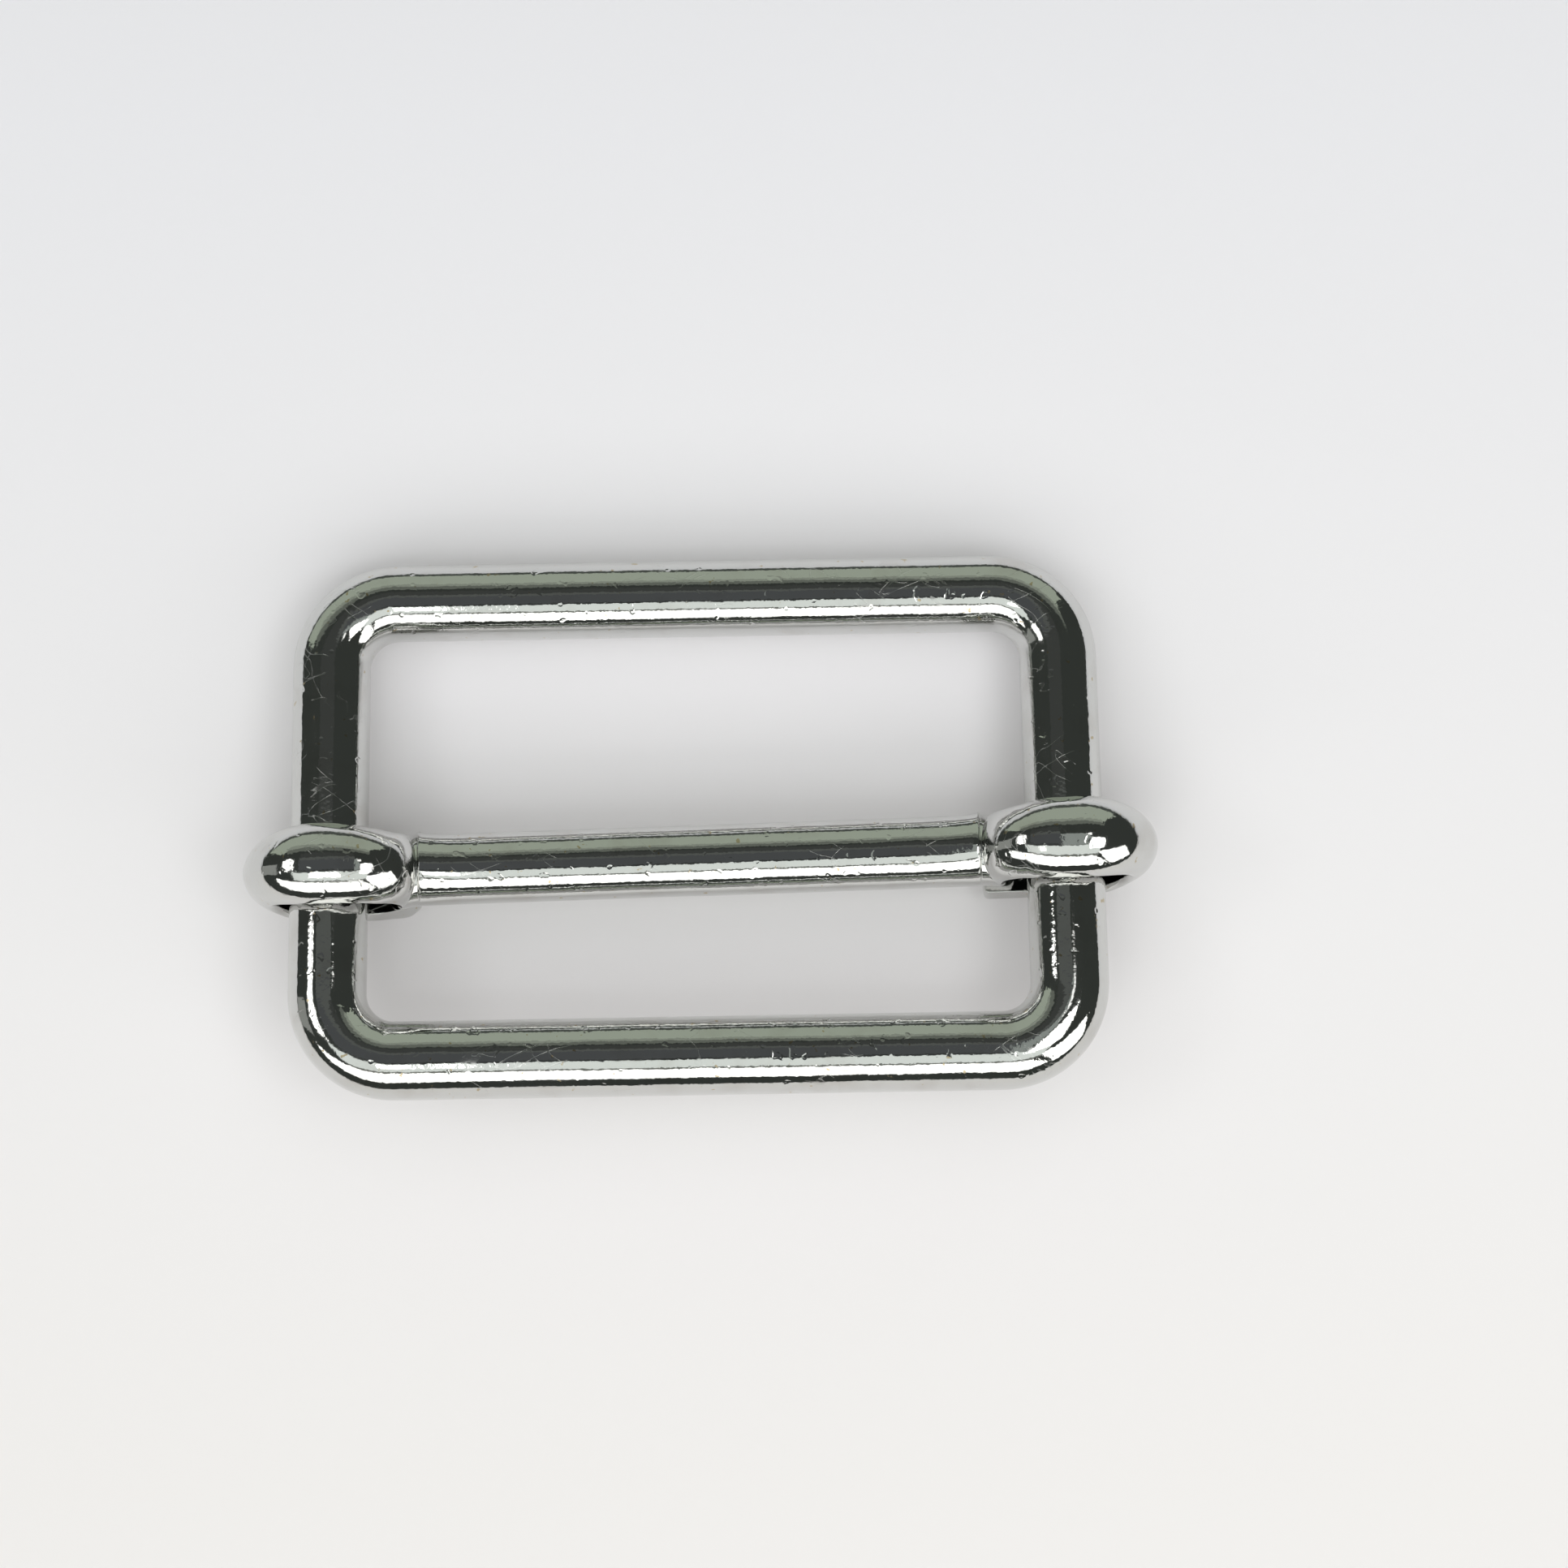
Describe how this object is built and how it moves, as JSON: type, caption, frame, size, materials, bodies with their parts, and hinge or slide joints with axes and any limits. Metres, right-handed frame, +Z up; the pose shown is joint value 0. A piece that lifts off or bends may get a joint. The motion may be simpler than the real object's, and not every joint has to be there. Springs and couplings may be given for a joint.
{
  "type": "strap slider",
  "caption": "Wire-frame strap slider with a cross bar that slides on the side rails, for adjusting a webbing strap.",
  "frame": {"origin": "on the surface that the slider lies on, under the middle of its overall length and depth", "axes": "+X along the cross bar, the longest side; +Y across the frame, from the near rail to the far rail; +Z up"},
  "size_m": [0.0444, 0.0264, 0.0078],
  "materials": {
    "frame_plating": "bright nickel-plated steel wire, mirror polished, slightly wavy, with fine scuffs",
    "bar_plating": "bright nickel-plated steel, mirror polished, with hammered flecks and creases at the pressed eyes"
  },
  "bodies": {
    "frame": {"frame": "frame_plating"},
    "slide_bar": {"slide_bar": "bar_plating"}
  },
  "joints": [
    {"name": "bar_slide", "type": "slide", "parent": "frame", "child": "slide_bar", "axis": [0, 0.9915, -0.1301], "range_m": [-0.0054, 0.0089]}
  ]
}
